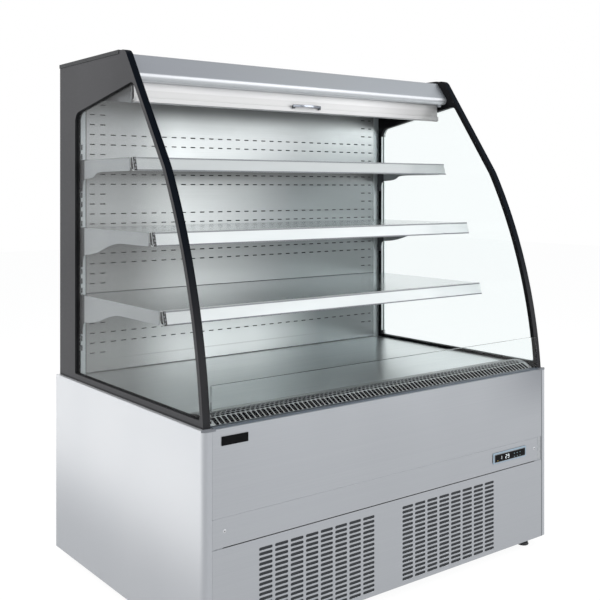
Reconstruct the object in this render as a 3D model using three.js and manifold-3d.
// Open multideck display fridge, plug-in, with curved glass sides, three shelves and a night blind.
// Millimetres. x runs across the front, y from the front (negative) to the back, z up from the floor.
import * as THREE from "three";
import { mergeGeometries, mergeVertices } from "three/addons/utils/BufferGeometryUtils.js";
import Module from "manifold-3d";

// ---------------------------------------------------------------- driving dimensions
const WIDTH = 1265; // over the base's side panels
const DEPTH = 855; // front trim to rear panel
const HEIGHT = 1500; // floor to top panel
const BASE_TOP = 556; // top of the closed base
const SKIRT = 32; // clear height under the base panels
const FIT = 0.3; // clearance between pieces that touch
const SHEET = 1.5; // folded sheet metal
const PROUD = 1.5; // controller rim and badge in front of the panels

const SIDE_PANEL = 26; // thickness of a base side panel
const CORNER_R = 16; // its rounded front corner
const STRIP_BOTTOM = 274.5; // control strip, between the grille panel and the front panel
const STRIP_H = 70;
const SEAM = 1.5; // open seam between the front panels
const STRIP_RECESS = 21; // the strip stops this far short at its right end
const HEM = 12; // folded edge of a front panel

const SLOT_L = 40; // louvre slots of the grille panel
const SLOT_H = 6;
const SLOT_COLS = 8;
const SLOT_COL_PITCH = 48;
const SLOT_ROW_PITCH = 12.25;
const BLOCK_IN = 160; // left block, from the side of the base
const BLOCK_STEP = 479.5; // from the left block to the right one
const BLOCK_UP = 14; // lowest slots, from the panel's lower edge
const BLOCK_DOWN = 22; // highest slots, from its upper edge

const TUB_UP = 27.5; // insulated tub under the deck, above the control strip
const TUB_FLOOR = 32; // wall thicknesses of the tub
const TUB_SIDE = 34;
const TUB_FRONT = 60;
const BACK_WALL = 34; // insulated back wall
const ROOF_T = 52.2; // insulated top
const LINER_AHEAD = 101.5; // perforated back liner, ahead of the rear panel
const LINER_SEAM_UP = 241; // seam between its two sheets, above the deck
const UPRIGHT_FACE = 24; // visible width of an upright

const FRAME_T = 21; // side frame, across x
const FRAME_SET_IN = 9.5; // it stands this far inside the base's side
const REAR_SET = 6.5; // and this far ahead of the rear panel
const TOE_SET = 14; // front foot of its curve, behind the front panels
const KINK_AHEAD = 655.5; // where the curved front meets the straight brow, ahead of the rear panel
const KINK_DROP = 320; // and below the top
const CURVE_R = 1567;
const BROW_SLOPE = 55.7; // degrees above the horizontal
const BROW_R = 26; // rounding between brow and top
const RIM = 14; // width of the frame in front of the glass
const RAIL = 19; // height of the frame below the glass
const STILE = 111; // width of the frame behind the glass
const OPENING_DROP = 105.7; // slanted upper edge of the glass, below the top at the canopy
const OPENING_FALL = 9.8; // degrees that this edge falls towards the back
const GLASS_T = 6;
const GROOVE = 7; // depth that the glass enters the frame

const DECK_UP = 11; // display deck, above the base
const RISER_H = 101; // low front glass, above the base
const RISER_SET = 16; // its middle, behind the front panels
const GRILLE_RUN = 139; // seam of return grille and deck, behind the front panels

const SHELF_DEPTHS = [490.5, 434, 327]; // lower, middle, upper
const SHELF_CLEAR = 240.5; // from the deck to the lower shelf's top
const HOOK_PITCH = 200 / 7; // from slot to slot of the uprights
const SHELF_ROOM = 100; // least height between the upper shelf and the blind
const SHELF_GAP = 1.5; // behind a shelf
const SHELF_PLAY = 1.7; // beside a shelf
const BRACKET_T = 2.5;

const NOSE_AHEAD = 452; // canopy nose, ahead of the rear panel
const NOSE_DROP = 70.5; // middle of its roll, below the top
const NOSE_R = 15;
const FASCIA_TOP = [42.5, 9]; // fascia's upper edge: behind the nose, below the top
const CASSETTE_PLAY = 17.1; // night blind, beside the side frames
const CASSETTE_DEEP = 86.5; // back of the cassette, behind the nose
const CASSETTE_H = 41.2;
const BLIND_HANG = 15; // underside of the pull bar, below the cassette
const CEILING_RUN = 66; // front of the ceiling, behind the cassette
const CEILING_RISE = 16; // from its front to the back liner
const ROLLER_R = 16;

// ---------------------------------------------------------------- derived places
const halfW = WIDTH / 2;
const frontY = -DEPTH / 2 + PROUD;
const rearY = DEPTH / 2;
const bay = halfW - SIDE_PANEL - FIT; // half width between the side panels
const chassisFront = frontY + SHEET + FIT;
const chassisRear = rearY - SHEET - FIT;
const stripTop = STRIP_BOTTOM + STRIP_H;
const grilleTop = STRIP_BOTTOM - SEAM - 1;
const panelBottom = stripTop + SEAM;
const tubBottom = stripTop + TUB_UP;
const rimZ = BASE_TOP - SHEET - FIT; // upper edge of the tub
const deckZ = BASE_TOP + DECK_UP;

const frameOut = halfW - FRAME_SET_IN;
const frameIn = frameOut - FRAME_T;
const cabin = frameIn - FIT; // half width between the side frames
const frameTop = HEIGHT - SHEET - FIT;
const frameFoot = BASE_TOP + FIT;
const frameBack = rearY - REAR_SET;
const kink = [rearY - KINK_AHEAD, HEIGHT - KINK_DROP];
const toeY = frontY + TOE_SET;
const backRear = frameBack - 1;
const backFace = backRear - BACK_WALL; // cold side of the back wall
const roofUnder = frameTop - ROOF_T;
const linerY = rearY - LINER_AHEAD;

const noseY = rearY - NOSE_AHEAD;
const noseZ = HEIGHT - NOSE_DROP;
const fasciaTop = [noseY + FASCIA_TOP[0], HEIGHT - FASCIA_TOP[1]];
const cassetteHalf = cabin - CASSETTE_PLAY;
const cassetteBack = noseY + CASSETTE_DEEP;
const cassetteTop = noseZ - NOSE_R - FIT;
const cassetteLip = cassetteTop - CASSETTE_H;
const barBottom = cassetteLip - BLIND_HANG;
const ceilingFront = cassetteBack + CEILING_RUN;
const ceilingZ = cassetteLip + 1; // at its front
const ceilingRear = ceilingZ + CEILING_RISE;
const linerTop = ceilingRear + 2;

// The shelves hang as many slots apart as the height leaves free.
const lowShelfZ = deckZ + SHELF_CLEAR;
const steps = SHELF_DEPTHS.length - 1;
const slotsPerStep = Math.floor((barBottom - SHELF_ROOM - lowShelfZ) / (steps * HOOK_PITCH));
const shelfHalf = cabin - SHELF_PLAY;
const shelfRear = linerY - SHELF_GAP;
const shelfZ = (level) => lowShelfZ + level * slotsPerStep * HOOK_PITCH;
const shelfFront = (level) => shelfRear - SHELF_DEPTHS[level];

// ---------------------------------------------------------------- shape helpers
const wasm = await Module();
wasm.setup();

function solid(geometry) {
  const open = geometry.index ? geometry.toNonIndexed() : geometry;
  const plain = new THREE.BufferGeometry();
  plain.setAttribute("position", open.getAttribute("position"));
  const merged = mergeVertices(plain, 1e-4);
  const mesh = new wasm.Mesh({
    numProp: 3,
    vertProperties: new Float32Array(merged.attributes.position.array),
    triVerts: new Uint32Array(merged.index.array),
  });
  return new wasm.Manifold(mesh);
}

function geometryOf(manifold) {
  const mesh = manifold.getMesh();
  const geometry = new THREE.BufferGeometry();
  geometry.setAttribute("position", new THREE.BufferAttribute(mesh.vertProperties, 3));
  geometry.setIndex(new THREE.BufferAttribute(mesh.triVerts, 1));
  geometry.computeVertexNormals();
  return geometry;
}

const join = (...parts) => geometryOf(parts.map(solid).reduce((a, b) => a.add(b)));
const cut = (body, ...tools) =>
  geometryOf(tools.map(solid).reduce((a, b) => a.subtract(b), solid(body)));

function shapeOf(points) {
  return new THREE.Shape(points.map(([a, b]) => new THREE.Vector2(a, b)));
}

function prism(points, from, to) {
  const options = { depth: to - from, bevelEnabled: false, curveSegments: 1 };
  return new THREE.ExtrudeGeometry(shapeOf(points), options).translate(0, 0, from);
}

function extruded(points, depth, holes = []) {
  const body = prism(points, 0, depth);
  if (!holes.length) return body;
  return cut(body, mergeGeometries(holes.map((hole) => prism(hole, -1, depth + 1))));
}

// A profile in (y, z) drawn out from x0 to x1.
function alongX(points, x0, x1, holes) {
  const turn = new THREE.Matrix4().makeBasis(
    new THREE.Vector3(0, 1, 0),
    new THREE.Vector3(0, 0, 1),
    new THREE.Vector3(1, 0, 0),
  );
  return extruded(points, x1 - x0, holes).applyMatrix4(turn).translate(x0, 0, 0);
}

// A profile in (x, z) drawn out from y0 to y1.
function alongY(points, y0, y1, holes) {
  return extruded(points, y1 - y0, holes).rotateX(Math.PI / 2).translate(0, y1, 0);
}

// A profile in (x, y) drawn out from z0 to z1.
function alongZ(points, z0, z1, holes) {
  return extruded(points, z1 - z0, holes).translate(0, 0, z0);
}

function slab(x0, x1, y0, y1, z0, z1) {
  const box = new THREE.BoxGeometry(x1 - x0, y1 - y0, z1 - z0);
  return box.translate((x0 + x1) / 2, (y0 + y1) / 2, (z0 + z1) / 2);
}

function rectangle(a0, b0, a1, b1) {
  return [[a0, b0], [a1, b0], [a1, b1], [a0, b1]];
}

function arc(ca, cb, r, from, to, steps) {
  return Array.from({ length: steps + 1 }, (_, i) => {
    const angle = THREE.MathUtils.degToRad(from + ((to - from) * i) / steps);
    return [ca + r * Math.cos(angle), cb + r * Math.sin(angle)];
  });
}

function rounded(a0, b0, a1, b1, r, steps = 3) {
  return [
    ...arc(a0 + r, b0 + r, r, 180, 270, steps),
    ...arc(a1 - r, b0 + r, r, 270, 360, steps),
    ...arc(a1 - r, b1 - r, r, 0, 90, steps),
    ...arc(a0 + r, b1 - r, r, 90, 180, steps),
  ];
}

// Rounds the corners of a polygon: radii[i] belongs to points[i], 0 leaves it sharp.
function filleted(points, radii, steps = 5) {
  const count = points.length;
  return points.flatMap((corner, i) => {
    const r = radii[i];
    if (!r) return [corner];
    const p = new THREE.Vector2(...corner);
    const before = new THREE.Vector2(...points[(i + count - 1) % count]).sub(p).normalize();
    const after = new THREE.Vector2(...points[(i + 1) % count]).sub(p).normalize();
    const half = Math.acos(THREE.MathUtils.clamp(before.dot(after), -1, 1)) / 2;
    const centre = before.clone().add(after).normalize().multiplyScalar(r / Math.sin(half)).add(p);
    const start = before.multiplyScalar(r / Math.tan(half)).add(p).sub(centre);
    const end = after.multiplyScalar(r / Math.tan(half)).add(p).sub(centre);
    const sweep = Math.atan2(start.cross(end), start.dot(end));
    return Array.from({ length: steps + 1 }, (_, k) => {
      const turned = start.clone().rotateAround(new THREE.Vector2(), (sweep * k) / steps);
      return turned.add(centre).toArray();
    });
  });
}

// Gives a folded path its sheet thickness, on the left of its direction.
function folded(path, thickness) {
  const normals = path.slice(1).map(([a, b], i) => {
    const along = new THREE.Vector2(a - path[i][0], b - path[i][1]).normalize();
    return new THREE.Vector2(-along.y, along.x);
  });
  const offset = path.map(([a, b], i) => {
    const n1 = normals[Math.max(i - 1, 0)];
    const n2 = normals[Math.min(i, normals.length - 1)];
    const mitre = n1.clone().add(n2).multiplyScalar(thickness / (1 + n1.dot(n2)));
    return [a + mitre.x, b + mitre.y];
  });
  return [...path, ...offset.reverse()];
}

function mirrored(geometry) {
  const copy = geometry.index ? geometry.toNonIndexed() : geometry.clone();
  copy.scale(-1, 1, 1);
  const p = copy.getAttribute("position");
  for (let i = 0; i < p.count; i += 3) {
    const [x, y, z] = [p.getX(i), p.getY(i), p.getZ(i)];
    p.setXYZ(i, p.getX(i + 1), p.getY(i + 1), p.getZ(i + 1));
    p.setXYZ(i + 1, x, y, z);
  }
  copy.computeVertexNormals();
  return copy;
}

// ---------------------------------------------------------------- finishes
const finish = (color, roughness, metalness, extra = {}) =>
  new THREE.MeshStandardMaterial({ color, roughness, metalness, ...extra });
const brushedSteel = finish(0xadafb3, 0.34, 0.9);
const sideSheet = finish(0xd2d5d9, 0.4, 0.6);
const linerSheet = finish(0xc3c9c8, 0.36, 0.8);
const zincSheet = finish(0x9a9da0, 0.5, 0.8);
const darkCoat = finish(0x5b5b5e, 0.55, 0.1);
const canopyCoat = finish(0x9ba1aa, 0.35, 0.5);
const railCoat = finish(0xd3d8da, 0.35, 0.5);
const bracketCoat = finish(0x979da3, 0.45, 0.4);
const blindCoat = finish(0xd9d7d7, 0.45, 0.2);
const clearGlass = finish(0xeffcfc, 0.05, 0, { transparent: true, opacity: 0.25 });
const foamSkin = finish(0xe6e7e4, 0.6, 0);
const blackPlastic = finish(0x17181a, 0.4, 0);
const greyPlastic = finish(0x8e9499, 0.5, 0);
const rubber = finish(0x222325, 0.8, 0);
const copper = finish(0xb06a43, 0.35, 0.9);
const aluminiumFin = finish(0xb9bdc0, 0.45, 0.9);
const chrome = finish(0xc8ccd0, 0.12, 1);
const blackEnamel = finish(0x1d1e20, 0.35, 0.3);
const lampWhite = finish(0xffffff, 0.5, 0);
const curtainFabric = finish(0xc9ccd0, 0.7, 0);

const fridge = new THREE.Group();

function piece(name, geometry, material, parent = fridge) {
  const mesh = new THREE.Mesh(geometry, material);
  mesh.name = name;
  parent.add(mesh);
  return mesh;
}

// A right-hand piece and its mirror image on the left.
function pair(name, geometry, material, parent = fridge) {
  piece(`${name}_right`, geometry, material, parent);
  piece(`${name}_left`, mirrored(geometry), material, parent);
}

// ---------------------------------------------------------------- base: chassis and feet
const PAN_Z = 40; // underside of the chassis pan
const PAN_RIM = 22;
const POST = 30; // legs of the corner posts
const POST_T = 2;
const FOOT_R = 18;
const FOOT_H = 8;
const STEM_R = 5;
const STEM_TOP = 78;
const FOOT_IN = 56.5; // from the side of the base
const FOOT_BACK = 49.5; // from its front and rear
const STEM_SIDES = 8;
const BOSS_R = 10;
const BOSS_H = 16;
const footX = halfW - FOOT_IN;
const footY = DEPTH / 2 - FOOT_BACK;

const footPlaces = [
  ["front_left", -footX, -footY],
  ["front_right", footX, -footY],
  ["rear_left", -footX, footY],
  ["rear_right", footX, footY],
];

// An angle section with its corner at (x, y), its legs pointing to the middle of the base.
function anglePost(x, y) {
  const dx = -Math.sign(x);
  const dy = -Math.sign(y);
  const outline = [[0, 0], [POST, 0], [POST, POST_T], [POST_T, POST_T], [POST_T, POST], [0, POST]];
  const placed = outline.map(([a, b]) => [x + dx * a, y + dy * b]);
  return alongZ(placed, PAN_Z + SHEET / 2, tubBottom - FIT);
}

function chassis() {
  const floor = slab(-bay, bay, chassisFront, chassisRear, PAN_Z, PAN_Z + PAN_RIM);
  const hollow = slab(
    -bay + SHEET,
    bay - SHEET,
    chassisFront + SHEET,
    chassisRear - SHEET,
    PAN_Z + SHEET,
    PAN_Z + PAN_RIM + 1,
  );
  const pan = cut(floor, hollow);
  const posts = [-bay, bay].flatMap((x) => [chassisFront, chassisRear].map((y) => anglePost(x, y)));
  const column = (r, h, sides) => ([, x, y]) =>
    new THREE.CylinderGeometry(r, r, h, sides)
      .rotateX(Math.PI / 2)
      .translate(x, y, PAN_Z + BOSS_H / 2);
  const bosses = footPlaces.map(column(BOSS_R, BOSS_H, 6));
  const bores = footPlaces.map(column(STEM_R + 2 * FIT, 2 * BOSS_H, STEM_SIDES));
  return cut(join(pan, ...posts, ...bosses), ...bores);
}
piece("base_frame", chassis(), zincSheet);

// A foot is a flared disc on a threaded stem.
function foot() {
  const profile = [
    [0, 0],
    [FOOT_R - 1.5, 0],
    [FOOT_R, 2],
    [FOOT_R - 2, FOOT_H],
    [STEM_R, FOOT_H + 3],
    [STEM_R, STEM_TOP],
    [0, STEM_TOP],
  ];
  const points = profile.map(([r, z]) => new THREE.Vector2(r, z));
  return new THREE.LatheGeometry(points, STEM_SIDES).rotateX(Math.PI / 2);
}
for (const [place, x, y] of footPlaces) {
  piece(`levelling_foot_${place}`, foot(), rubber).position.set(x, y, 0);
}

// ---------------------------------------------------------------- base: panels
// A side panel is a folded pan: outer face, rounded front corner, front and rear returns, top.
function sidePanel() {
  const inner = halfW - SIDE_PANEL;
  const lip = 14;
  const outline = [
    [inner, frontY + lip],
    [inner, frontY],
    ...arc(halfW - CORNER_R, frontY + CORNER_R, CORNER_R, 270, 360, 6),
    [halfW, rearY],
    [inner, rearY],
    [inner, rearY - lip],
  ];
  const wall = alongZ(folded(outline, SHEET), SKIRT, BASE_TOP - SHEET / 2);
  const top = alongZ(outline.slice(1, -1), BASE_TOP - SHEET, BASE_TOP);
  return join(wall, top);
}
pair("side_panel", sidePanel(), sideSheet);

// Front panels are flat skins with their edges folded back between the corner posts.
const hemHalf = bay - POST - 4;

function hemmed(skin, z0, z1, x0 = -hemHalf, x1 = hemHalf) {
  const lower = slab(x0, x1, frontY + SHEET / 2, frontY + HEM, z0, z0 + SHEET);
  const upper = slab(x0, x1, frontY + SHEET / 2, frontY + HEM, z1 - SHEET, z1);
  return join(skin, lower, upper);
}

const slotAt = (cx, cz, w, h) => rectangle(cx - w / 2, cz - h / 2, cx + w / 2, cz + h / 2);

function grillePanel() {
  const lowest = SKIRT + BLOCK_UP + SLOT_H / 2;
  const highest = grilleTop - BLOCK_DOWN - SLOT_H / 2;
  const rows = 1 + Math.floor((highest - lowest) / SLOT_ROW_PITCH);
  const slots = [0, BLOCK_STEP].flatMap((blockX) =>
    Array.from({ length: SLOT_COLS * rows }, (_, i) => {
      const col = i % SLOT_COLS;
      const row = Math.floor(i / SLOT_COLS);
      const x = -halfW + BLOCK_IN + SLOT_L / 2 + blockX + col * SLOT_COL_PITCH;
      return slotAt(x, lowest + row * SLOT_ROW_PITCH, SLOT_L, SLOT_H);
    }),
  );
  const skin = alongY(rectangle(-bay, SKIRT, bay, grilleTop), frontY, frontY + SHEET, slots);
  return hemmed(skin, SKIRT, grilleTop);
}
piece("grille_panel", grillePanel(), brushedSteel);

const CONTROL_IN = 178; // middle of the controller, from the right side
const CONTROL_UP = 4; // and above the middle of the strip
const controlX = halfW - CONTROL_IN;
const controlZ = STRIP_BOTTOM + STRIP_H / 2 + CONTROL_UP;
const RIM_W = 153;
const RIM_H = 33;
const RIM_R = 5;
const HOUSING_W = 142;
const HOUSING_H = 27;
const HOUSING_DEEP = 52;
const WINDOW_DEEP = 1;
const WINDOW_W = 138;
const WINDOW_H = 21;
const WINDOW_AT = [2, -1.5]; // centre of the window in the rim

function controlStrip() {
  const cutOut = slotAt(controlX, controlZ, HOUSING_W + 2 * FIT, HOUSING_H + 2 * FIT);
  const end = bay - STRIP_RECESS;
  const outline = rectangle(-bay, STRIP_BOTTOM, end, stripTop);
  const skin = alongY(outline, frontY, frontY + SHEET, [cutOut]);
  return hemmed(skin, STRIP_BOTTOM, stripTop, -hemHalf, end - POST);
}
piece("control_strip", controlStrip(), brushedSteel);

function frontPanel() {
  const skin = slab(-bay, bay, frontY, frontY + SHEET, panelBottom, BASE_TOP);
  const fold = slab(-bay, bay, frontY + SHEET / 2, frontY + 6.5, BASE_TOP - SHEET, BASE_TOP);
  return join(skin, fold);
}
piece("front_panel", frontPanel(), brushedSteel);

// The rear panel closes the machine bay and lets the warm air out through long slots.
const VENT_L = 90;
const VENT_H = 8;
const VENT_COLS = 3;
const VENT_ROWS = 6;
const VENT_STEP = [120, 24];
const VENT_UP = 114; // lowest vents, above the floor

function rearPanel() {
  const vents = Array.from({ length: VENT_COLS * VENT_ROWS }, (_, i) => {
    const x = ((i % VENT_COLS) - (VENT_COLS - 1) / 2) * VENT_STEP[0];
    const z = VENT_UP + Math.floor(i / VENT_COLS) * VENT_STEP[1];
    return slotAt(x, z, VENT_L, VENT_H);
  });
  const outline = rectangle(-bay, SKIRT + 30, bay, BASE_TOP - SHEET);
  return alongY(outline, rearY - SHEET, rearY, vents);
}
piece("rear_panel", rearPanel(), zincSheet);

// A blank plate with rounded corners sits at the upper left of the front panel.
const BADGE = { fromSide: 51.5, fromTop: 19, w: 76, h: 22, r: 2, t: 1.2 };

function badgePlate() {
  const x = -halfW + BADGE.fromSide;
  const z = BASE_TOP - BADGE.fromTop;
  const outline = rounded(x, z - BADGE.h, x + BADGE.w, z, BADGE.r);
  return alongY(outline, frontY - FIT - BADGE.t, frontY - FIT);
}
piece("badge_plate", badgePlate(), blackPlastic);

// Controller: a housing behind the strip, its rim in front, and a dark window set in the rim.
function controllerHousing() {
  const w = RIM_W / 2;
  const h = RIM_H / 2;
  const flangeFront = frontY - PROUD;
  const flange = alongY(rounded(-w, -h, w, h, RIM_R), flangeFront, frontY - FIT);
  const body = slab(
    -HOUSING_W / 2,
    HOUSING_W / 2,
    frontY - FIT - 0.1,
    frontY + HOUSING_DEEP,
    -HOUSING_H / 2,
    HOUSING_H / 2,
  );
  const window = slotAt(...WINDOW_AT, WINDOW_W + 2 * FIT, WINDOW_H + 2 * FIT);
  return cut(join(flange, body), alongY(window, flangeFront - 1, flangeFront + WINDOW_DEEP));
}
const controller = new THREE.Group();
controller.position.set(controlX, 0, controlZ);
fridge.add(controller);
piece("controller_housing", controllerHousing(), greyPlastic, controller);

function controllerDisplay() {
  const [x, z] = WINDOW_AT;
  const outline = rounded(-WINDOW_W / 2, -WINDOW_H / 2, WINDOW_W / 2, WINDOW_H / 2, 2);
  const front = frontY - PROUD + 0.1;
  return alongY(outline, front, frontY - PROUD + WINDOW_DEEP - FIT).translate(x, 0, z);
}
piece("controller_display", controllerDisplay(), blackPlastic, controller);

// ---------------------------------------------------------------- insulated body
const pocketHalf = bay - TUB_SIDE;
const pocketFront = chassisFront + TUB_FRONT;
const pocketFloor = tubBottom + TUB_FLOOR;
const DRAIN = { x: bay - 176, y: backFace - 56, r: 14 };

function insulatedTub() {
  const block = slab(-bay, bay, chassisFront, chassisRear, tubBottom, rimZ);
  const pocket = slab(-pocketHalf, pocketHalf, pocketFront, backFace, pocketFloor, rimZ + 1);
  const drain = new THREE.CylinderGeometry(DRAIN.r, DRAIN.r, 100, 12)
    .rotateX(Math.PI / 2)
    .translate(DRAIN.x, DRAIN.y, pocketFloor);
  return cut(block, pocket, drain);
}
piece("insulated_tub", insulatedTub(), foamSkin);
piece("insulated_back", slab(-cabin, cabin, backFace, backRear, rimZ + FIT, frameTop), foamSkin);

const roofFront = cassetteBack + 6;
piece(
  "insulated_top",
  slab(-cabin, cabin, roofFront, backFace - FIT, roofUnder, frameTop),
  foamSkin,
);

// The top panel laps over both side frames; only its side strips reach forward to the fascia.
const LAP = 9;
const TOP_SET = 5; // strips, behind the fascia's upper edge
const TOP_LAP = 8; // panel, behind the insulated top's front

function topPanel() {
  const out = frameOut + FIT + SHEET;
  const front = roofFront + TOP_LAP;
  const across = [
    [-out, frameTop - LAP],
    [-out, HEIGHT],
    [out, HEIGHT],
    [out, frameTop - LAP],
  ];
  const strip = [across[0], across[1], [-cabin, HEIGHT]];
  const left = alongY(folded(strip, -SHEET), fasciaTop[0] + TOP_SET, front + SHEET);
  return join(alongY(folded(across, -SHEET), front, frameBack), left, mirrored(left));
}
piece("top_panel", topPanel(), darkCoat);

// ---------------------------------------------------------------- cooling machinery
// A twisted blade from the hub to the tip: a closed strip of cross-sections.
function blade(hubR, tipR, chord, pitchHub, pitchTip, thickness) {
  const sections = 3;
  const corners = [];
  for (let i = 0; i < sections; i += 1) {
    const t = i / (sections - 1);
    const r = hubR + (tipR - hubR) * t;
    const pitch = THREE.MathUtils.degToRad(pitchHub + (pitchTip - pitchHub) * t);
    const along = new THREE.Vector3(0, Math.cos(pitch), Math.sin(pitch));
    const across = new THREE.Vector3(0, -Math.sin(pitch), Math.cos(pitch));
    for (const [a, b] of [[-1, -1], [1, -1], [1, 1], [-1, 1]]) {
      const p = new THREE.Vector3(r, 0, 0);
      p.addScaledVector(along, (a * chord * (0.8 + 0.35 * t)) / 2);
      p.addScaledVector(across, (b * thickness) / 2);
      corners.push(p);
    }
  }
  const faces = [[0, 2, 1], [0, 3, 2]];
  for (let i = 0; i < sections - 1; i += 1) {
    for (let k = 0; k < 4; k += 1) {
      const a = 4 * i + k;
      const b = 4 * i + ((k + 1) % 4);
      faces.push([a, b, b + 4], [a, b + 4, a + 4]);
    }
  }
  const last = 4 * (sections - 1);
  faces.push([last, last + 1, last + 2], [last, last + 2, last + 3]);
  const geometry = new THREE.BufferGeometry().setFromPoints(corners);
  geometry.setIndex(faces.flat());
  return geometry;
}

// A fan rotor about the y axis, centred on its hub.
function fanRotor(hubR, tipR, depth, blades) {
  const hub = new THREE.CylinderGeometry(hubR, hubR, depth, 16);
  const chord = (1.5 * Math.PI * hubR) / blades + depth * 0.6;
  const ring = Array.from({ length: blades }, (_, i) =>
    blade(hubR - 2, tipR, chord, 38, 24, 1.6)
      .rotateX(Math.PI / 2)
      .rotateY((2 * Math.PI * i) / blades),
  );
  return join(hub, ...ring);
}

// A motor on crossed struts behind a round hole; the rotor turns in front of it.
const STRUT = { wide: 12, thick: 4, past: 10, leg: 6 }; // past the hole's edge

function fanMount(x, z, y, { holeR, motorR, motorL, strutY }) {
  const motor = new THREE.CylinderGeometry(motorR, motorR, motorL, 12);
  motor.translate(x, y + motorL / 2, z);
  const struts = [45, 135].map((angle) =>
    new THREE.BoxGeometry(2 * (holeR + STRUT.past), STRUT.thick, STRUT.wide)
      .rotateY(THREE.MathUtils.degToRad(angle))
      .translate(x, y + STRUT.thick, z),
  );
  const legs = [45, 135, 225, 315].map((angle) => {
    const a = THREE.MathUtils.degToRad(angle);
    const r = holeR + STRUT.past - STRUT.leg / 2;
    const long = strutY + STRUT.thick + 1;
    return new THREE.BoxGeometry(STRUT.leg, long, STRUT.leg).translate(
      x + r * Math.cos(a),
      y + STRUT.thick + 1 - long / 2 + SHEET / 2,
      z + r * Math.sin(a),
    );
  });
  return [motor, ...struts, ...legs];
}

function circle(cx, cz, r, sides) {
  return arc(cx, cz, r, 0, 360 - 360 / sides, sides - 1);
}

const TIP_GAP = 5; // between a fan and its hole
const plateZ0 = pocketFloor + FIT;
const plateZ1 = rimZ - 1;
const FAN_PLATE_AHEAD = 506; // of the back wall
const COIL_AHEAD = 426;
const EVAP = {
  fanX: 260,
  fanZ: (plateZ0 + plateZ1) / 2,
  holeR: (plateZ1 - plateZ0) / 2 - 1.5,
  motorR: 24,
  motorL: 34,
  strutY: 24, // struts, behind the plate
  plateY: backFace - FAN_PLATE_AHEAD,
  coilY: backFace - COIL_AHEAD,
  coilDeep: 240,
  coilIn: 72, // coil, from the tub's walls
  coilTop: 16, // coil, below the tub's rim
  fins: 16,
};

function evaporatorFanPlate() {
  const holes = [-1, 1].map((side) => circle(side * EVAP.fanX, EVAP.fanZ, EVAP.holeR, 16));
  const outline = rectangle(-pocketHalf + FIT, plateZ0, pocketHalf - FIT, plateZ1);
  const plate = alongY(outline, EVAP.plateY, EVAP.plateY + SHEET, holes);
  const motors = [-1, 1].flatMap((side) =>
    fanMount(side * EVAP.fanX, EVAP.fanZ, EVAP.plateY + EVAP.strutY, EVAP),
  );
  return join(plate, ...motors);
}
piece("evaporator_fan_plate", evaporatorFanPlate(), zincSheet);

const EVAP_ROTOR_D = 20;
for (const [side, x] of [["left", -EVAP.fanX], ["right", EVAP.fanX]]) {
  const blades = fanRotor(20, EVAP.holeR - TIP_GAP, EVAP_ROTOR_D, 5);
  const rotor = piece(`evaporator_fan_${side}`, blades, blackPlastic);
  rotor.position.set(x, EVAP.plateY + EVAP.strutY - FIT - EVAP_ROTOR_D / 2, EVAP.fanZ);
}

// A finned block: a comb of fins on a solid core, drawn out from front to back.
function finComb(x0, x1, z0, z1, fins, root) {
  const pitch = (x1 - x0) / fins;
  const teeth = Array.from({ length: fins }, (_, i) => {
    const a = x0 + i * pitch;
    return [[a, z1], [a + pitch / 2, z1], [a + pitch / 2, root], [a + pitch, root]];
  }).flat();
  return [[x0, z0], ...teeth.slice(0, -1), [x1, root], [x1, z0]].reverse();
}

function tube(points, radius, sides, steps) {
  const path = new THREE.CatmullRomCurve3(points.map((p) => new THREE.Vector3(...p)));
  const section = shapeOf(circle(0, 0, radius, sides));
  return new THREE.ExtrudeGeometry(section, { steps, extrudePath: path, bevelEnabled: false });
}

function evaporatorCoil() {
  const half = pocketHalf - EVAP.coilIn;
  const comb = finComb(-half, half, plateZ0, rimZ - EVAP.coilTop, EVAP.fins, plateZ0 + 12);
  return alongY(comb, EVAP.coilY, EVAP.coilY + EVAP.coilDeep);
}
piece("evaporator_coil", evaporatorCoil(), aluminiumFin);

const COND = {
  x0: -halfW + 154.5,
  w: 386,
  y0: frontY + 26,
  deep: 64,
  top: 12.5, // below the control strip's upper edge
  fanUp: 150, // fan's middle, above the chassis pan
  holeR: 117,
  motorR: 36,
  motorL: 60,
  strutY: 36,
  fins: 15,
};
const condX = COND.x0 + COND.w / 2;
const condRight = COND.x0 + COND.w;
const condBack = COND.y0 + COND.deep;
const condTop = stripTop - COND.top;
const condZ = PAN_Z + COND.fanUp;
const panTop = PAN_Z + SHEET + FIT;

function condenserCoil() {
  const comb = finComb(COND.x0, condRight, panTop, condTop, COND.fins, panTop + 10);
  return alongY(comb, COND.y0, condBack);
}
piece("condenser_coil", condenserCoil(), aluminiumFin);

function condenserShroud() {
  const y = condBack + FIT;
  const outline = rectangle(COND.x0, panTop, condRight, condTop);
  const plate = alongY(outline, y, y + SHEET, [circle(condX, condZ, COND.holeR, 18)]);
  return join(plate, ...fanMount(condX, condZ, y + COND.strutY, COND));
}
piece("condenser_shroud", condenserShroud(), zincSheet);

const COND_ROTOR_D = 28;
const bigRotor = fanRotor(32, COND.holeR - TIP_GAP, COND_ROTOR_D, 6);
const condenserFan = piece("condenser_fan", bigRotor, blackPlastic);
condenserFan.position.set(condX, condBack + COND.strutY - COND_ROTOR_D / 2, condZ);

// A welded steel pot on a foot plate, with the pipe that is brazed on and runs to the condenser.
const COMPRESSOR = { aside: 475, behind: 206, r: 78, h: 205 }; // from the condenser's middle

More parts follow.
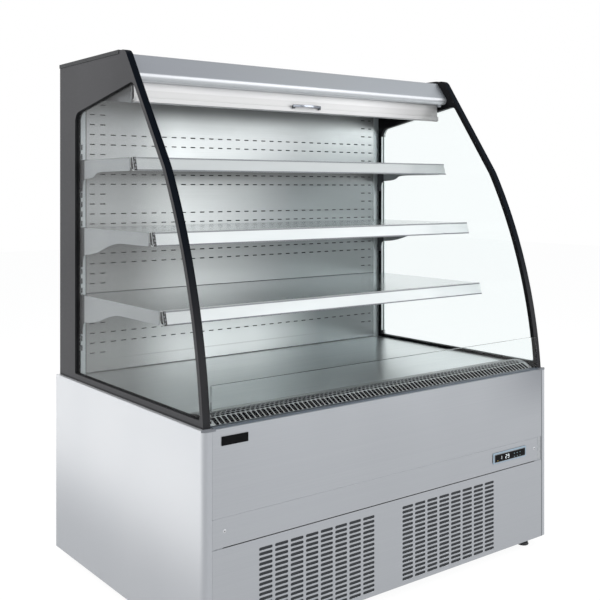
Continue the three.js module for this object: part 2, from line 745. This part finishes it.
function compressor() {
  const { aside, behind, r, h } = COMPRESSOR;
  const [x, y] = [condX + aside, condBack + behind];
  const profile = [
    [0, 12],
    [r * 0.75, 12],
    [r, 34],
    [r, h * 0.48],
    [r + 4, h * 0.5],
    [r, h * 0.52],
    ...arc(r - 52, h - 52, 52, 0, 78, 4),
    [0, h],
  ];
  const pot = new THREE.LatheGeometry(profile.map(([a, b]) => new THREE.Vector2(a, b)), 14);
  pot.rotateX(Math.PI / 2).translate(x, y, panTop);
  const plate = alongZ(rounded(x - 95, y - 70, x + 95, y + 70, 18), panTop, panTop + 14);
  const pipeEnd = condRight + FIT;
  const pipe = tube(
    [
      [x, y, panTop + h - 10],
      [x, y, panTop + h + 30],
      [x - 60, y - 60, panTop + h + 50],
      [x - 190, y - 200, panTop + h + 50],
      [pipeEnd + 40, COND.y0 + 34, condTop - 60],
      [pipeEnd, COND.y0 + 34, condTop - 60],
    ],
    5,
    5,
    12,
  );
  return join(pot, plate, pipe);
}
piece("compressor", compressor(), blackEnamel);

// Melt water runs through the drain into an open tray.
const TRAY = {
  left: DRAIN.x - 180,
  right: DRAIN.x + 130,
  front: DRAIN.y - 140,
  back: DRAIN.y + 70,
  h: 50,
};

function drainPan() {
  const { left, right, front, back, h } = TRAY;
  const outer = slab(left, right, front, back, panTop, panTop + h);
  const inner = slab(
    left + SHEET,
    right - SHEET,
    front + SHEET,
    back - SHEET,
    panTop + SHEET,
    panTop + h + 1,
  );
  return cut(outer, inner);
}
piece("drain_pan", drainPan(), greyPlastic);

// ---------------------------------------------------------------- glazed side frames
const brow = THREE.MathUtils.degToRad(BROW_SLOPE);

// Centre of the big front curve, from its two ends and its radius.
function curveCentre() {
  const a = new THREE.Vector2(...kink);
  const b = new THREE.Vector2(toeY, frameFoot);
  const middle = a.clone().add(b).multiplyScalar(0.5);
  const half = b.clone().sub(a).multiplyScalar(0.5);
  const rise = Math.sqrt(CURVE_R ** 2 - half.lengthSq());
  return middle.add(new THREE.Vector2(-half.y, half.x).normalize().multiplyScalar(rise));
}
const centre = curveCentre();

const onCurve = (r, z) => [centre.x - Math.sqrt(r * r - (z - centre.y) ** 2), z];

// The front edge set back by inset, from z0 at its foot up to the brow's height z1.
function frontEdge(inset, z0, z1, steps = 10) {
  const r = CURVE_R - inset;
  const browPoint = (z) => [
    kink[0] + inset / Math.sin(brow) + (z - kink[1]) / Math.tan(brow),
    z,
  ];
  const kinkZ = kink[1] - inset * 0.6;
  const curved = Array.from({ length: steps + 1 }, (_, i) => onCurve(r, z0 + ((kinkZ - z0) * i) / steps));
  return [...curved, browPoint(z1)];
}

function frameOutline() {
  const edge = frontEdge(0, frameFoot, frameTop);
  const points = [...edge, [frameBack, frameTop], [frameBack, frameFoot]];
  const radii = points.map((_, i) => (i === edge.length - 1 ? BROW_R : 0));
  return filleted(points, radii);
}

// The glass opening, grown on all sides.
const OPENING_R = { brow: 20, rear: 30, foot: 4 };

function opening(grow) {
  const fall = THREE.MathUtils.degToRad(OPENING_FALL);
  const level = HEIGHT - OPENING_DROP + grow / Math.cos(fall);
  const topAt = (y) => level - (y - fasciaTop[0]) * Math.tan(fall);
  const inset = RIM - grow;
  const backY = frameBack - STILE + grow;
  // where the brow and the slanted upper edge meet
  const browY = kink[0] + inset / Math.sin(brow) - kink[1] / Math.tan(brow);
  const meetZ = (topAt(0) - browY * Math.tan(fall)) / (1 + Math.tan(fall) / Math.tan(brow));
  const edge = frontEdge(inset, BASE_TOP + RAIL - grow, meetZ);
  const points = [...edge, [backY, topAt(backY)], [backY, BASE_TOP + RAIL - grow]];
  const radii = points.map(() => 0);
  radii[edge.length - 1] = OPENING_R.brow;
  radii[edge.length] = OPENING_R.rear;
  radii[0] = OPENING_R.foot;
  radii[points.length - 1] = OPENING_R.foot;
  return filleted(points, radii, 3);
}

const glassIn = frameIn + (FRAME_T - GLASS_T) / 2;

function sideFrame() {
  const frame = alongX(frameOutline(), frameIn, frameOut, [opening(0)]);
  const groove = alongX(opening(GROOVE + FIT), glassIn - FIT, glassIn + GLASS_T + FIT);
  return cut(frame, groove);
}
pair("side_frame", sideFrame(), darkCoat);
pair("side_glass", alongX(opening(GROOVE), glassIn, glassIn + GLASS_T), clearGlass);

// ---------------------------------------------------------------- display cabin
// An upright: a channel whose slotted face takes the shelf hooks.
const UPRIGHT_T = 2;
const HOOK_SLOT_W = BRACKET_T + 0.8;
const HOOK_SLOT_H = 13;
const SLOTS_BELOW = 6; // slots under the lowest shelf's upper one
const SLOT_CLEAR = 50; // highest slot, below the upright's upper end
const HOOK_DROP = 14.5; // from a shelf's top to the middle of its upper slot
const bracketOut = shelfHalf - 1;
const hookX = bracketOut - BRACKET_T / 2;
const uprightIn = cabin - UPRIGHT_FACE;
const slotZ = (i) => lowShelfZ - HOOK_DROP + (i - SLOTS_BELOW) * HOOK_PITCH;

function upright() {
  const path = [
    [uprightIn - 12, linerY + SHEET + FIT],
    [uprightIn + 0.5, linerY + SHEET + FIT],
    [uprightIn + 1.5, linerY],
    [cabin, linerY],
    [cabin, backFace - FIT],
  ];
  const channel = alongZ(folded(path, UPRIGHT_T), rimZ + FIT, linerTop);
  const count = 1 + Math.floor((linerTop - SLOT_CLEAR - slotZ(0)) / HOOK_PITCH);
  const slots = Array.from({ length: count }, (_, i) => {
    const z = slotZ(i);
    const high = HOOK_SLOT_H / 2;
    const wide = HOOK_SLOT_W / 2;
    return slab(hookX - wide, hookX + wide, linerY - 2, linerY + UPRIGHT_T + 2, z - high, z + high);
  });
  return cut(channel, mergeGeometries(slots));
}
pair("upright", upright(), linerSheet);

const linerHalf = uprightIn - FIT;
const linerSeam = deckZ + LINER_SEAM_UP;
piece(
  "back_liner_upper",
  alongY(rectangle(-linerHalf, linerSeam + 0.5, linerHalf, linerTop), linerY, linerY + SHEET),
  linerSheet,
);
piece(
  "back_liner_lower",
  alongY(rectangle(-linerHalf, deckZ + FIT, linerHalf, linerSeam - 0.5), linerY, linerY + SHEET),
  linerSheet,
);

const grilleBack = frontY + GRILLE_RUN;

// The deck is a lift-out plate with flanges that stand on the tub's rim.
function deckPanel() {
  const out = cabin - FIT;
  const path = [
    [-out, rimZ + FIT],
    [-out, deckZ],
    [out, deckZ],
    [out, rimZ + FIT],
  ];
  const front = grilleBack + FIT;
  const plate = alongY(folded(path, -SHEET), front, linerY - FIT);
  const lip = slab(-out, out, front, front + SHEET, deckZ - 12, deckZ - SHEET / 2);
  return join(plate, lip);
}
piece("deck_panel", deckPanel(), linerSheet);

// Air return grille: a humped strip, its front slope cut by a row of long slots.
const CHANNEL = { y0: frontY + 7, y1: frontY + 24, z1: BASE_TOP + 4, wall: 3 };
const GRILLE_PITCH = 14.7;
const GRILLE_SLOT_W = 8.5;
const GRILLE_IN = 6.7; // end of the grille, from the side frame
const GRILLE_SLOPE = 29.5; // run of the slotted front slope
const GRILLE_HUMP = [ // the hump over the deck's level, after the slope
  [0, 5],
  [14, 8.8],
  [30, 10],
  [38, 9.6],
  [58, 5.5],
];
const grilleHalf = cabin - GRILLE_IN;
const grilleFoot = CHANNEL.y1 + 0.5;
const grilleCrown = [grilleFoot + GRILLE_SLOPE, deckZ + GRILLE_HUMP[0][1]];

function returnGrille() {
  const toe = [grilleFoot + 1, BASE_TOP + SHEET];
  const path = [
    [grilleFoot + 12, rimZ + FIT],
    [grilleFoot, rimZ + FIT],
    toe,
    ...GRILLE_HUMP.map(([y, z]) => [grilleCrown[0] + y, deckZ + z]),
    [grilleBack, deckZ],
    [grilleBack, deckZ - DECK_UP],
  ];
  const strip = alongX(folded(path, -SHEET), -grilleHalf, grilleHalf);
  const [run, rise] = [grilleCrown[0] - toe[0], grilleCrown[1] - toe[1]];
  const length = Math.hypot(run, rise) - 5;
  const count = 1 + 2 * Math.floor((grilleHalf - 2 * GRILLE_SLOT_W) / GRILLE_PITCH);
  const slots = Array.from({ length: count }, (_, i) =>
    new THREE.BoxGeometry(GRILLE_SLOT_W, length, 3 * SHEET)
      .rotateX(Math.atan2(rise, run))
      .translate((i - (count - 1) / 2) * GRILLE_PITCH, toe[0] + run / 2, toe[1] + rise / 2),
  );
  return cut(strip, mergeGeometries(slots));
}
piece("air_return_grille", returnGrille(), linerSheet);

// The low front glass stands in a dark channel on the tub's rim.
const riserY = frontY + RISER_SET;

function riserChannel() {
  const { y0, y1, z1, wall } = CHANNEL;
  const slot = GLASS_T / 2 + FIT;
  const floor = rimZ + FIT + wall;
  const outline = [
    [y0, rimZ + FIT],
    [y1, rimZ + FIT],
    [y1, z1],
    [riserY + slot, z1],
    [riserY + slot, floor],
    [riserY - slot, floor],
    [riserY - slot, z1],
    [y0, z1],
  ];
  return alongX(outline, -cabin + FIT, cabin - FIT);
}
piece("riser_channel", riserChannel(), blackPlastic);

function riserGlass() {
  const [y, half] = [riserY, grilleHalf + 2];
  const foot = rimZ + 2 * FIT + CHANNEL.wall;
  return slab(-half, half, y - GLASS_T / 2, y + GLASS_T / 2, foot, BASE_TOP + RISER_H);
}
piece("riser_glass", riserGlass(), clearGlass);

// ---------------------------------------------------------------- shelves
const NOSE_H = 35; // height of a bracket's front end
const WINDOW_BACK = 68; // small slot near a bracket's front end
const WINDOW_DOWN = 25;
const WINDOW_LONG = 22;
const WINDOW_THICK = 5;

const BRACKETS = [
  { rearH: 79, tongueH: 117, flatFrom: 285 },
  { rearH: 79, tongueH: 117, flatFrom: 285 },
  { rearH: 55, tongueH: 92, flatFrom: 175 },
];

// Seen from the side: d is the distance in front of the upright, h the depth below the top edge.
function bracketOutline({ rearH, tongueH, flatFrom }, reach) {
  const sweep = new THREE.CubicBezierCurve(
    new THREE.Vector2(flatFrom, NOSE_H),
    new THREE.Vector2(flatFrom - 110, NOSE_H),
    new THREE.Vector2(150, rearH - 4),
    new THREE.Vector2(34, rearH),
  ).getPoints(5);
  return [
    [FIT, 0],
    [reach, 0],
    [reach, NOSE_H],
    ...sweep.map((p) => p.toArray()),
    [20, rearH + 20],
    [18, tongueH],
    [FIT, tongueH],
  ];
}

function bracket(level) {
  const topZ = shelfZ(level) - SHEET - FIT;
  const front = shelfFront(level) + SHEET + 4;
  const reach = linerY - front;
  const toWorld = ([d, h]) => [linerY - d, topZ - h];
  const outline = bracketOutline(BRACKETS[level], reach).map(toWorld);
  const window = slotAt(front + WINDOW_BACK, topZ - WINDOW_DOWN, WINDOW_LONG, WINDOW_THICK);
  const plate = alongX(outline, bracketOut - BRACKET_T, bracketOut, [window]);
  const flange = slab(bracketOut - 14, bracketOut - 1, front + 8, linerY - 8, topZ - 2, topZ);
  const hooks = [0, 2].map((below) => {
    const sill = shelfZ(level) - HOOK_DROP - below * HOOK_PITCH - HOOK_SLOT_H / 2;
    const y = linerY;
    const wall = UPRIGHT_T + FIT;
    const shape = [
      [y - 4, sill + FIT],
      [y + wall, sill + FIT],
      [y + wall, sill - 7],
      [y + wall + 4, sill - 7],
      [y + wall + 4, sill + HOOK_SLOT_H - 2],
      [y - 4, sill + HOOK_SLOT_H - 2],
    ];
    return alongX(shape, bracketOut - BRACKET_T, bracketOut);
  });
  return join(plate, flange, ...hooks);
}

function shelfPlate(level) {
  const z = shelfZ(level);
  const front = shelfFront(level);
  const path = [
    [front, z - 30],
    [front, z],
    [shelfRear, z],
    [shelfRear, z - 14],
  ];
  const folds = folded(path, -SHEET);
  const half = bracketOut - 15 - FIT;
  const tray = alongX(folds, -half, half);
  const wings = slab(-shelfHalf, shelfHalf, front, shelfRear, z - SHEET, z);
  return join(tray, wings);
}

// The label rail is an extrusion clipped to the shelf's front flange.
function priceRail(level) {
  const z = shelfZ(level);
  const y = shelfFront(level) - FIT;
  const path = [
    [y - 6, z - 27],
    [y, z - 27],
    [y, z + 1],
    [y - 11.5, z + 1],
    [y - 22.5, z - 36.5],
    [y - 13, z - 36.5],
    [y - 13, z - 32],
  ];
  return alongX(folded(path, 1.2), -shelfHalf, shelfHalf);
}

const LEVELS = ["lower", "middle", "upper"];
LEVELS.forEach((name, level) => {
  piece(`shelf_${name}`, shelfPlate(level), linerSheet);
  piece(`price_rail_${name}`, priceRail(level), railCoat);
  pair(`bracket_${name}`, bracket(level), bracketCoat);
});

// ---------------------------------------------------------------- canopy
function canopyFascia() {
  const lean = 90 - BROW_SLOPE;
  const path = [
    [cassetteBack + 4, fasciaTop[1]],
    fasciaTop,
    ...arc(noseY + NOSE_R, noseZ, NOSE_R, 180 - lean, 270, 7),
    [cassetteBack + 4, noseZ - NOSE_R],
  ];
  return alongX(folded(path, SHEET), -cabin, cabin);
}
piece("canopy_fascia", canopyFascia(), canopyCoat);

const CHEEK_BACK = 33.5; // front corner of a cheek, behind the nose
const cheekX = cassetteHalf + 5;

const LAMP_BACK = 50; // lamp's middle, behind the ceiling's front edge
const LAMP_R = 9;
const LAMP_DROP = 6; // lamp's middle, below the bottom of its recess
const LAMP_RECESS = 14; // height of the recess, above the ceiling
const LAMP_SIDE = 4; // room beside the lamp
const lampY = ceilingFront + LAMP_BACK;
const recessZ = ceilingZ + (CEILING_RISE * LAMP_BACK) / (linerY - ceilingFront) + LAMP_RECESS;

// The ceiling carries the cold air forward; the lamp lies in a recess of it, and its ends are
// closed by side cheeks.
function ceilingDuct() {
  const back = linerY - FIT;
  const under = (y) => ceilingZ + (CEILING_RISE * (y - ceilingFront)) / (back - ceilingFront);
  const [y0, y1] = [lampY - LAMP_R - LAMP_SIDE, lampY + LAMP_R + LAMP_SIDE];
  const path = [
    [back, ceilingRear],
    [y1, under(y1)],
    [y1, recessZ],
    [y0, recessZ],
    [y0, under(y0)],
    [ceilingFront, ceilingZ],
    [ceilingFront, roofUnder - FIT],
  ];
  const sheet = alongX(folded(path, -SHEET), -cheekX, cheekX);
  const cheek = [
    [noseY + CHEEK_BACK, cassetteTop],
    [noseY + CHEEK_BACK, barBottom - 1],
    [back, ceilingRear],
    [back, roofUnder - FIT],
    [roofFront, roofUnder - FIT],
    [roofFront, cassetteTop],
  ];
  const cheeks = [-1, 1].map((side) =>
    alongX(cheek, side * cheekX - SHEET / 2, side * cheekX + SHEET / 2),
  );
  return join(sheet, ...cheeks);
}
piece("ceiling_duct", ceilingDuct(), canopyCoat);

// The outlet is a comb of cells that straightens the falling air.
const CELLS = 24;
const COMB_WALL = 5;
const COMB_UP = 2; // above the ceiling's front edge
const COMB_H = 16;

function honeycomb() {
  const half = cheekX - SHEET / 2 - FIT;
  const y0 = cassetteBack + FIT;
  const y1 = ceilingFront - FIT;
  const pitch = (2 * half - COMB_WALL) / CELLS;
  const cells = Array.from({ length: CELLS }, (_, i) => {
    const x = -half + COMB_WALL + i * pitch;
    return rectangle(x, y0 + COMB_WALL, x + pitch - COMB_WALL, y1 - COMB_WALL);
  });
  const foot = ceilingZ + COMB_UP;
  return alongZ(rectangle(-half, y0, half, y1), foot, foot + COMB_H, cells);
}
piece("honeycomb_outlet", honeycomb(), greyPlastic);

const LAMP_IN = 29.6; // end of the lamp, from the blind's end

function lamp() {
  const top = recessZ - FIT;
  const profile = [
    [lampY + LAMP_R, top],
    [lampY - LAMP_R, top],
    ...arc(lampY, top - LAMP_DROP, LAMP_R, 180, 360, 8),
  ];
  return alongX(profile, -cassetteHalf + LAMP_IN, cassetteHalf - LAMP_IN);
}
piece("lamp_tube", lamp(), lampWhite);

// ---------------------------------------------------------------- night blind
const ROLLER_BACK = 58.5; // roller's axis, behind the nose
const ROLLER_DOWN = 22.2; // and below the cassette's top
const SHAFT_R = 4;
const END_T = 2; // end plates of the cassette
const FACE = [ // cassette's front: behind the nose, share of its height
  [27.7, 0],
  [29, 0.485],
  [31, 1],
];
const rollerY = noseY + ROLLER_BACK;
const rollerZ = cassetteTop - ROLLER_DOWN;

// The cassette hangs under the canopy, open at the bottom, its ends closed by plates.
function blindCassette() {
  const front = (set) => FACE.map(([y, up]) => [noseY + y + set, cassetteLip + up * CASSETTE_H]);
  const path = [
    ...front(0),
    [cassetteBack, cassetteTop],
    [cassetteBack, cassetteLip + 5],
  ];
  const cover = alongX(folded(path, -SHEET), -cassetteHalf, cassetteHalf);
  const set = SHEET / 2;
  const endShape = [
    ...front(set).map(([y, z]) => [y, Math.min(z, cassetteTop - set)]),
    [cassetteBack - set, cassetteTop - set],
    [cassetteBack - set, cassetteLip + 5],
  ];
  const bore = circle(rollerY, rollerZ, SHAFT_R + 1, 12);
  const ends = [-1, 1].map((side) => {
    const x = side * (cassetteHalf - END_T / 2);
    return alongX(endShape, x - END_T / 2, x + END_T / 2, [bore]);
  });
  return join(cover, ...ends);
}
piece("blind_cassette", blindCassette(), blindCoat);

// The roller with the wound curtain, on stub shafts that run in the cassette's ends.
function roller() {
  const half = cassetteHalf - END_T - 1;
  const profile = [
    [0, -cassetteHalf],
    [SHAFT_R, -cassetteHalf],
    [SHAFT_R, -half],
    [ROLLER_R, -half],
    [ROLLER_R, half],
    [SHAFT_R, half],
    [SHAFT_R, cassetteHalf],
    [0, cassetteHalf],
  ];
  const points = profile.map(([r, x]) => new THREE.Vector2(r, x));
  return new THREE.LatheGeometry(points, 16).rotateZ(-Math.PI / 2);
}
piece("blind_roller", roller(), curtainFabric).position.set(0, rollerY, rollerZ);

const BAR_BACK = 22.5; // front of the pull bar, behind the nose
const CURTAIN_T = 0.8;
const CURTAIN_IN = 12; // edge of the curtain, from the end of the bar
const BAR_SLOT = 6; // thickness of the bar under the curtain
const barFront = noseY + BAR_BACK;
const barTop = cassetteLip - 2 * FIT;
const curtainY = rollerY - ROLLER_R - FIT - CURTAIN_T / 2;

function blindBar() {
  const outline = [
    [barFront, barBottom + 2],
    [barFront + 2, barBottom],
    [curtainY + 3, barBottom],
    [curtainY + 3, barBottom + BAR_SLOT],
    [curtainY - 3, barBottom + BAR_SLOT],
    [barFront + 5, barTop],
    [barFront, barTop],
  ];
  return alongX(outline, -cassetteHalf, cassetteHalf);
}
piece("blind_bar", blindBar(), blindCoat);

// The free edge of the curtain, between the roller and the bar.
function blindCurtain() {
  const half = cassetteHalf - CURTAIN_IN;
  const [y, t] = [curtainY, CURTAIN_T / 2];
  return slab(-half, half, y - t, y + t, barBottom + BAR_SLOT + FIT, rollerZ);
}
piece("blind_curtain", blindCurtain(), curtainFabric);

// A pull handle: a flat bow on two feet, in front of the bar.
const HANDLE = { half: 54, thick: 3.5, reach: 4, bow: 11, up: 15, h: 8, foot: 8, drop: 4.5 };

// A bow that reaches forward, on two feet that lap over the bar.
function pullHandle() {
  const { half, thick, reach, bow, up, h, foot, drop } = HANDLE;
  const steps = 24;
  const line = (y) =>
    Array.from({ length: steps + 1 }, (_, i) => {
      const x = -half + (2 * half * i) / steps;
      return [x, y - bow * Math.cos((Math.PI * x) / (2 * half))];
    });
  const inner = line(barFront - reach);
  const outer = line(barFront - reach - thick).reverse();
  const z0 = barBottom + up;
  const grip = alongZ([...inner, ...outer], z0, z0 + h);
  const feet = [-1, 1].map((side) => {
    const x = [side * half, side * (half - foot)].sort((a, b) => a - b);
    return slab(...x, barFront - reach - thick, barFront - FIT, z0 - drop, z0 + h - 1);
  });
  return join(grip, ...feet);
}
piece("blind_handle", pullHandle(), chrome);

export default fridge;
